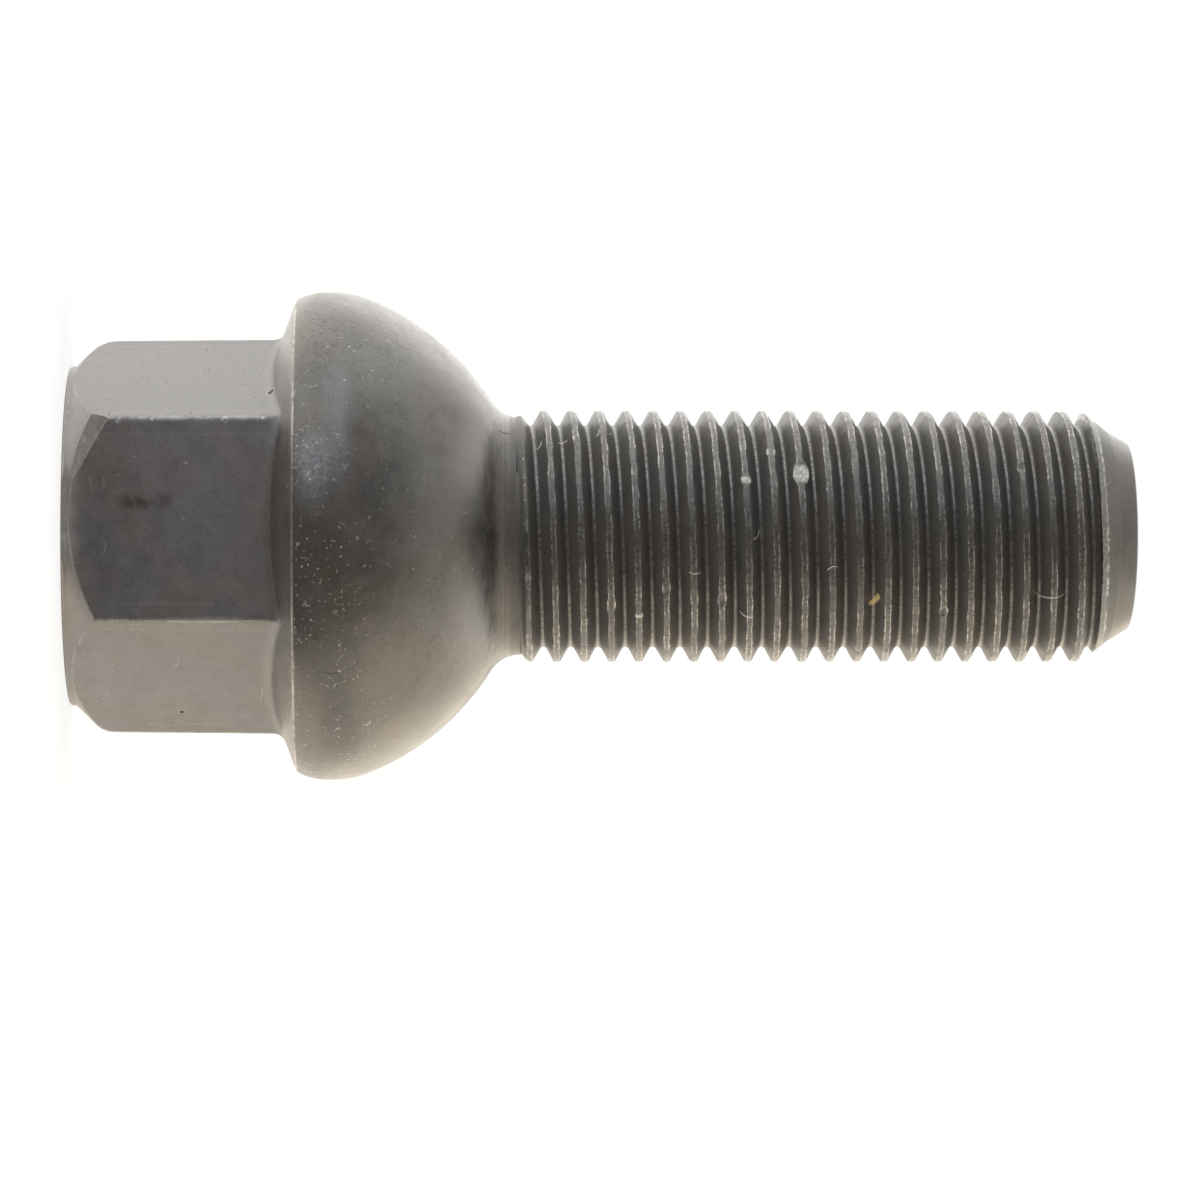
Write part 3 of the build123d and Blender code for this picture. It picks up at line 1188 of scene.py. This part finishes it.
# Painted shade: dark streaks in the crease where the fillet meets the neck.
into_crease = ramp(tree, height, 22.0 * MM, 22.9 * MM)
out_of_crease = ramp(tree, height, 23.6 * MM, 23.1 * MM)
flattened = vector_calc(tree, "MULTIPLY", vector, (1, 1, 4))
streaky = ramp(tree, grain(tree, flattened, 900, 4.0, 0.7), 0.36, 0.66)
colour = blend(tree, times(tree, into_crease, out_of_crease, streaky, 0.5), colour, GRIME_AND_SHADE)
print("nodes so far:", len(tree.nodes))

# %% [markdown]
# Specks and bits of lint are many near the rim, thicker below the middle, and thickest in a few clusters,
# where the surface is scuffed too. So the coverage of the strokes is itself a mask.

# %% Specks and scuffs on the ball
SPECK_CLUSTERS = [((315, 458), 2.6), ((352, 602), 1.4), ((304, 622), 1.3), ((338, 676), 1.5)]
# Cells to a metre, share of them kept, half length and half width in millimetres.
BALL_SPECKS = [(900.0, 0.4, 0.09, 0.05), (620.0, 0.4, 0.25, 0.04), (2200.0, 0.45, 0.06, 0.045)]

lower_side = ramp(tree, part_of(tree, vector, "X"), -6 * MM, 6 * MM, 0.5, 1.3)
uneven = ramp(tree, grain(tree, vector, 200, 2.0), 0.38, 0.62, 0.2, 1.5)
near_rim = times(tree, ramp(tree, height, 20 * MM, 14 * MM, 0.12, 1.0), uneven, lower_side)
gathered = spots(tree, vector, SPECK_CLUSTERS, 0.3)
thick = calc(tree, "ADD", near_rim, times(tree, gathered, 1.3))
scuffed = times(tree, gathered, 0.5)
sheet = use_group(tree, unroll_group, Vector=vector, Radius=0.013)["Vector"]
marks = [strokes(tree, sheet, 1500.0, scuffed, 0.2, 0.04)]
for scale, coverage, length, width in BALL_SPECKS:
    marks.append(strokes(tree, sheet, scale, times(tree, thick, coverage), length, width))
dust = strongest(tree, marks)
print("kinds of specks on the ball:", len(marks))

# %% [markdown]
# Dark marks go into the surface: scattered pits, dents in the scuffed places, single scratches, a hair on
# the neck, and a fine pitting that is seen best where the ball turns away towards the top.

# %% Pits and scratches on the ball, and its worn edge
BALL_SCRATCHES = [((350, 327), 0.7, -12, 0.05), ((331, 320), 0.35, 40, 0.03), ((340, 673), 0.6, 4, 0.04)]
BALL_SCRATCHES += [((490, 660), 0.6, 55, 0.1), ((352, 668), 0.3, 40, 0.04)]
DARK_HAIR = ((508, 434), 0.55, -5, 0.12)
COLLAR_NICKS = [((293, 393), 0.25), ((294, 632), 0.28)]

pits = strokes(tree, sheet, 330.0, 0.14, 0.25, 0.05)
dents = strokes(tree, sheet, 1300.0, scuffed, 0.15, 0.06)
pitted = grain(tree, vector, 3200, 4.0, 0.65)
dark_lines = times(tree, fibres(tree, vector, BALL_SCRATCHES), ramp(tree, pitted, 0.42, 0.52))
dark = times(tree, strongest(tree, [pits, dark_lines, dents]), 0.55)
towards_top = ramp(tree, part_of(tree, vector, "X"), -5 * MM, -12 * MM, 0.08, 0.4)
pitting = times(tree, ramp(tree, pitted, 0.53, 0.64), towards_top)
dark = strongest(tree, [dark, fibre(tree, vector, *DARK_HAIR), pitting])
colour = blend(tree, dark, colour, GRIME_AND_SHADE)
edge = vertex_value(tree, "edge")
worn = use_group(tree, wear_group, Vector=vector, Exposure=edge, Amount=0.45)["Mask"]
nicks = times(tree, spots(tree, vector, COLLAR_NICKS, 0.3), 0.5)
colour = blend(tree, strongest(tree, [worn, nicks]), colour, BARE_STEEL)
colour = blend(tree, times(tree, dust, 0.75), colour, DUST)
print("scratches on the ball:", len(BALL_SCRATCHES))

# %% The ball's shader
relief = calc(tree, "ADD", coat["Height"], times(tree, turned, 0.8))
relief = calc(tree, "SUBTRACT", relief, times(tree, dark, 0.8))
relief = calc(tree, "ADD", relief, times(tree, pitted, 0.6))
feed(tree, surface["Base Color"], colour)
feed(tree, surface["Metallic"], times(tree, calc(tree, "SUBTRACT", 1.0, dust), COAT_METAL))
feed(tree, surface["Roughness"], calc(tree, "SUBTRACT", coat["Roughness"], 0.08))
feed(tree, surface["Normal"], bump(tree, relief, 0.5, 0.04))
bolt_mesh.materials.append(seat_coat)
print("nodes of the ball's coat:", len(tree.nodes))

# %% [markdown]
# ## The thread's coat
#
# The flanks are the darkest part, because they mirror each other. The crests are rubbed: grey along the
# middle, with two brighter, ragged edges. Along the bottom of each root a thin, broken pale line is
# painted, a painted highlight, which stops at the point's cone. Where a crest was beaten it is bright. The
# mesh carries where its crests are, which keeps these marks on the helix whatever its phase.

# %% Crests, painted root highlights and beaten places of the thread
FLANK_COAT = (0.122, 0.117, 0.111, 1)
CORE_DARK = (0.12, 0.116, 0.11, 1)
CORE_PALE = (0.19, 0.185, 0.177, 1)
EDGE_DARK = (0.145, 0.14, 0.134, 1)
EDGE_PALE = (0.48, 0.467, 0.446, 1)
ROOT_HIGHLIGHT_PALE = (0.24, 0.232, 0.218, 1)
BEATEN_STEEL = (0.52, 0.505, 0.48, 1)
ROOT_LINE = root_centre - ROOT_ROUND + 0.02

thread_coat, tree, surface = new_material("thread_coat")
vector = object_vector(tree)
height = part_of(tree, vector, "Z")
coat = use_group(tree, coat_group, Vector=vector, Colour=FLANK_COAT, Contrast=0.5, Grain=0.5)
gritty = ramp(tree, grain(tree, vector, 5200, 4.0, 0.75), 0.4, 0.6)
patchy = ramp(tree, grain(tree, vector, 800, 3.0), 0.38, 0.62)
ragged = times(tree, calc(tree, "SUBTRACT", grain(tree, vector, 2600, 4.0, 0.75), 0.5), 0.7)
ragged_share = calc(tree, "ADD", vertex_value(tree, "crest"), ragged)
crest = ramp(tree, ragged_share, 0.48, 0.56)
crest_edge = times(tree, crest, ramp(tree, ragged_share, 0.98, 0.8))
# Painted highlight: a pale line along the bottom of each root, stopping before the point's cone.
root = ramp(tree, axis_distance(tree, vector), ROOT_LINE * MM, (ROOT_LINE - 0.015) * MM)
root = times(tree, root, ramp(tree, height, (POINT_START - 0.4) * MM, (POINT_START - 0.6) * MM))
colour = blend(tree, times(tree, root, gritty), coat["Colour"], ROOT_HIGHLIGHT_PALE)
colour = blend(tree, crest, colour, blend(tree, gritty, CORE_DARK, CORE_PALE))
edge_steel = blend(tree, times(tree, gritty, patchy), EDGE_DARK, EDGE_PALE)
colour = blend(tree, crest_edge, colour, edge_steel)
knocked = ramp(tree, vertex_value(tree, "edge"), 0.2, 1.0)
beaten = times(tree, knocked, ramp(tree, gritty, 0.0, 1.0, 0.4, 1.0))
colour = blend(tree, beaten, colour, BEATEN_STEEL)
print("nodes so far:", len(tree.nodes))

# %% [markdown]
# A chip of straw and a few fibres are caught in the thread. They are not metal, so the shader's metallic
# value falls where they lie.

# %% Straw, fibres and the thread's shader
STRAW = ((876, 599), 0.36, 48, 0.05, 0.19)
STRAW_YELLOW = (0.68, 0.52, 0.27, 1)
THREAD_FIBRES = [((1052, 598), 0.8, 0, 0.25), ((832, 567), 0.3, 20, -0.1), ((757, 537), 0.35, 50, 0.15)]
THREAD_FIBRES += [((696, 574), 0.3, 5, 0.1), ((745, 616), 0.35, -30, 0.1), ((611, 434), 0.35, 35, 0.1)]
THREAD_FIBRES += [((563, 443), 0.3, 15, 0.1), ((540, 446), 0.22, 60, 0.05), ((599, 432), 0.2, 80, 0.05)]

sheet = use_group(tree, unroll_group, Vector=vector, Radius=0.0069)["Vector"]
specks = strokes(tree, sheet, 700.0, 0.1, 0.07, 0.04)
lint = strokes(tree, sheet, 260.0, 0.08, 0.6, 0.025)
dust = times(tree, strongest(tree, [specks, lint]), 0.6)
dust = strongest(tree, [dust, fibres(tree, vector, THREAD_FIBRES)])
colour = blend(tree, dust, colour, DUST)
straw = fibre(tree, vector, *STRAW)
colour = blend(tree, straw, colour, STRAW_YELLOW)
metal = ramp(tree, strongest(tree, [crest, root, beaten]), 0.0, 1.0, 0.45, 0.92)
metal = calc(tree, "SUBTRACT", metal, strongest(tree, [dust, straw]), clamp=True)
relief = times(tree, gritty, ramp(tree, crest, 0.0, 1.0, 0.1, 1.0))
feed(tree, surface["Base Color"], colour)
feed(tree, surface["Metallic"], metal)
feed(tree, surface["Roughness"], ramp(tree, crest, 0.0, 1.0, 0.42, 0.34))
feed(tree, surface["Normal"], bump(tree, relief, 0.35, 0.03))
bolt_mesh.materials.append(thread_coat)
print("nodes of the thread's coat:", len(tree.nodes))

# %% [markdown]
# ## The point's coat
#
# The smooth cone at the point has the plain coat, a little smoother than the head's.

# %% Material of the point
POINT_COAT = (0.156, 0.151, 0.146, 1)

point_coat, tree, surface = new_material("point_coat")
vector = object_vector(tree)
coat = use_group(tree, coat_group, Vector=vector, Colour=POINT_COAT, Contrast=0.5, Grain=0.6)
feed(tree, surface["Base Color"], coat["Colour"])
surface["Metallic"].default_value = COAT_METAL
feed(tree, surface["Roughness"], calc(tree, "SUBTRACT", coat["Roughness"], 0.06))
feed(tree, surface["Normal"], bump(tree, coat["Height"], 0.3, 0.03))
bolt_mesh.materials.append(point_coat)
print("materials of the bolt:", [material.name for material in bolt_mesh.materials])

# %% [markdown]
# ## The studio
#
# The bolt was photographed on white, with bright surfaces above, below and behind it and a dark room on the
# camera's side. A plain metal shows little but what it mirrors, so the surroundings are built with care.
# The floor and the world are plain white to the camera. In reflections they are neutral on the picture's
# upper side, which is -X, and warm on its lower side. Lamps alone could not do this, because a mirror also
# shows what lies between them.

# %% Helpers for the stage
COOL_WHITE = (1.0, 0.99, 0.955, 1)
WARM_WHITE = (1.0, 0.92, 0.78, 1)


def sees_background(tree):
    """1 for camera, glossy and transmission rays, which are to see white, and 0 for the rest."""
    path = tree.nodes.new("ShaderNodeLightPath").outputs
    seen = calc(tree, "ADD", path["Is Camera Ray"], path["Is Glossy Ray"])
    return calc(tree, "ADD", seen, path["Is Transmission Ray"], clamp=True)


def surroundings(tree, vector, width):
    """White to the camera; to other rays neutral towards -X and warm towards +X."""
    warm = ramp(tree, part_of(tree, vector, "X"), -width, width)
    tinted = blend(tree, warm, COOL_WHITE, WARM_WHITE)
    path = tree.nodes.new("ShaderNodeLightPath").outputs
    return blend(tree, path["Is Camera Ray"], tinted, (1, 1, 1, 1))


def stage_plane(name, half_width, half_height):
    """A flat stage piece about the origin, with its own mesh."""
    mesh = bpy.data.meshes.new(name)
    sheet = bmesh.new()
    bmesh.ops.create_grid(sheet, x_segments=1, y_segments=1, size=1.0)
    bmesh.ops.scale(sheet, vec=(half_width, half_height, 1), verts=sheet.verts)
    sheet.to_mesh(mesh)
    sheet.free()
    piece = bpy.data.objects.new(name, mesh)
    bpy.context.scene.collection.objects.link(piece)
    return piece


print("whites of the surroundings:", COOL_WHITE[:3], WARM_WHITE[:3])

# %% Floor
FLOOR_HALF = 30.0
FLOOR_PAPER = (0.85, 0.85, 0.84, 1)
FLOOR_GLOW = 1.15
GLOW_SHARE = 0.7

floor = stage_plane("floor", FLOOR_HALF, FLOOR_HALF)
floor_paint = bpy.data.materials.new("floor_white")
floor_paint.use_nodes = True
tree = floor_paint.node_tree
tree.nodes.clear()
output = tree.nodes.new("ShaderNodeOutputMaterial")
paper = tree.nodes.new("ShaderNodeBsdfDiffuse")
paper.inputs["Color"].default_value = FLOOR_PAPER
glow = tree.nodes.new("ShaderNodeEmission")
glow.inputs["Strength"].default_value = FLOOR_GLOW
feed(tree, glow.inputs["Color"], surroundings(tree, object_vector(tree), 0.05))
mix = tree.nodes.new("ShaderNodeMixShader")
feed(tree, mix.inputs["Fac"], times(tree, sees_background(tree), GLOW_SHARE))
tree.links.new(paper.outputs[0], mix.inputs[1])
tree.links.new(glow.outputs[0], mix.inputs[2])
tree.links.new(mix.outputs[0], output.inputs["Surface"])
floor.data.materials.append(floor_paint)
print("floor", 2 * FLOOR_HALF, "m wide")

# %% World
world = bpy.data.worlds.new("white_room")
bpy.context.scene.world = world
world.use_nodes = True
tree = world.node_tree
tree.nodes.clear()
world_output = tree.nodes.new("ShaderNodeOutputWorld")
background = tree.nodes.new("ShaderNodeBackground")
direction = tree.nodes.new("ShaderNodeTexCoord").outputs["Generated"]
feed(tree, background.inputs["Color"], surroundings(tree, direction, 0.5))
feed(tree, background.inputs["Strength"], ramp(tree, sees_background(tree), 0, 1, 0.85, 1.0))
tree.links.new(background.outputs[0], world_output.inputs["Surface"])
print("nodes of the world:", len(tree.nodes))

# %% [markdown]
# Large soft lamps stand on both sides and behind the bolt, white above and warm below, and one hangs
# overhead. Two lamps lie on the floor and brighten what the flare and the chamfer mirror. A bluish lamp
# on the camera's side stands for a window, with its sheen on the floor beside it: together they make the
# blue patch near the ball's rim. A lamp's power is worked out from the brightness that its face is to
# have, so that a lamp can change its size and still look the same in a mirror.

# %% Lamps
WHITE_LIGHT = (1.0, 0.985, 0.945)
WARM_LIGHT = (1.0, 0.88, 0.7)
BLUE_LIGHT = (0.8, 0.88, 1.0)
BOLT_MIDDLE = (0, 0, 0.03)


def soft_lamp(name, place_at, look_at, width, height, radiance, colour):
    """A soft lamp that shines from one point towards another with a given brightness of its face."""
    data = bpy.data.lights.new(name, "AREA")
    data.shape = "RECTANGLE"
    data.size = width
    data.size_y = height
    data.energy = radiance * 4 * width * height
    data.color = colour
    lamp = bpy.data.objects.new(name, data)
    lamp.location = place_at
    lamp.rotation_euler = (Vector(look_at) - Vector(place_at)).to_track_quat("-Z", "Y").to_euler()
    lamp.visible_camera = False
    bpy.context.scene.collection.objects.link(lamp)


def floor_lamp(name, x, y, lift, width, depth, radiance, colour):
    """A soft lamp that lies just above the floor and shines upwards."""
    soft_lamp(name, (x, y, lift), (x, y, 1), width, depth, radiance, colour)


soft_lamp("upper_lamp", (-0.5, 0.19, 0.19), BOLT_MIDDLE, 0.7, 0.53, 0.54, WHITE_LIGHT)
soft_lamp("upper_back_lamp", (-0.3, 0.55, 0.17), BOLT_MIDDLE, 0.5, 0.45, 1.0, WHITE_LIGHT)
soft_lamp("lower_lamp", (0.5, 0.15, 0.42), BOLT_MIDDLE, 0.7, 0.55, 0.53, WARM_LIGHT)
soft_lamp("lower_back_lamp", (0.3, 0.55, 0.17), BOLT_MIDDLE, 0.5, 0.47, 1.08, WARM_LIGHT)
floor_lamp("upper_floor_lamp", -0.2, 0.141, 0.00005, 0.4, 0.3, 0.72, WHITE_LIGHT)
floor_lamp("lower_floor_lamp", 0.2, 0.141, 0.00005, 0.4, 0.3, 0.5, WARM_LIGHT)
soft_lamp("overhead_lamp", (0.0, 0.3, 0.55), BOLT_MIDDLE, 0.6, 0.5, 1.0, WHITE_LIGHT)
soft_lamp("blue_lamp", (-0.36, -0.29, 0.075), BOLT_MIDDLE, 0.46, 0.09, 1.6, BLUE_LIGHT)
floor_lamp("blue_floor_lamp", -0.03, -0.038, 0.0007, 0.045, 0.05, 0.38, BLUE_LIGHT)
print("lamps:", len(bpy.data.lights))

# %% [markdown]
# The dark room is a screen behind the camera, cooler on one side and warmer on the other, and a dark
# cloth on the floor between it and the bolt. They give the front flat and the ball's near side their dark
# reflections. The cloth narrows towards the bolt and reaches further to +X, as the dark patch on the ball
# does. Neither is seen by the camera, and the cloth takes no part in the diffuse light.

# %% Dark screen and dark cloth
SCREEN_TOP = 1.1
SCREEN_HALF_WIDTH = 0.665
SCREEN_PLACE = (-0.065, -0.5, SCREEN_TOP / 2)
SCREEN_COOL = (0.24, 0.25, 0.283, 1)
SCREEN_WARM = (0.24, 0.226, 0.212, 1)
CLOTH_NEAR = 0.0106
CLOTH_FAR = 0.5
CLOTH_LIFT = 0.0005
CLOTH_SPREAD_RIGHT = 1.6
CLOTH_SPREAD_LEFT = 0.7

screen = stage_plane("dark_screen", SCREEN_HALF_WIDTH, SCREEN_TOP / 2)
screen.data.transform(Matrix.Rotation(math.pi / 2, 4, "X"))
screen.data.transform(Matrix.Translation(SCREEN_PLACE))
screen.visible_camera = False
screen_paint, tree, surface = new_material("screen_dark")
warm_side = ramp(tree, part_of(tree, object_vector(tree), "X"), -0.25, 0.25)
feed(tree, surface["Base Color"], blend(tree, warm_side, SCREEN_COOL, SCREEN_WARM))
surface["Roughness"].default_value = 1.0
surface["Specular IOR Level"].default_value = 0.0
screen.data.materials.append(screen_paint)

cloth = stage_plane("dark_cloth", 1.0, 1.0)
for corner in cloth.data.vertices:
    depth = CLOTH_NEAR if corner.co.y > 0 else CLOTH_FAR
    spread = CLOTH_SPREAD_RIGHT if corner.co.x > 0 else CLOTH_SPREAD_LEFT
    corner.co = (corner.co.x * depth * spread, -depth, CLOTH_LIFT)
cloth.visible_camera = False
cloth.visible_diffuse = False
cloth.visible_shadow = False
cloth.data.materials.append(screen_paint)
print("stage pieces: floor, screen and cloth")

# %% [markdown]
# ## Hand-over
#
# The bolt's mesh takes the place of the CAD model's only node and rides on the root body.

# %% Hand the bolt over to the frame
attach(forged_bolt, "root")
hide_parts("wheel_bolt")
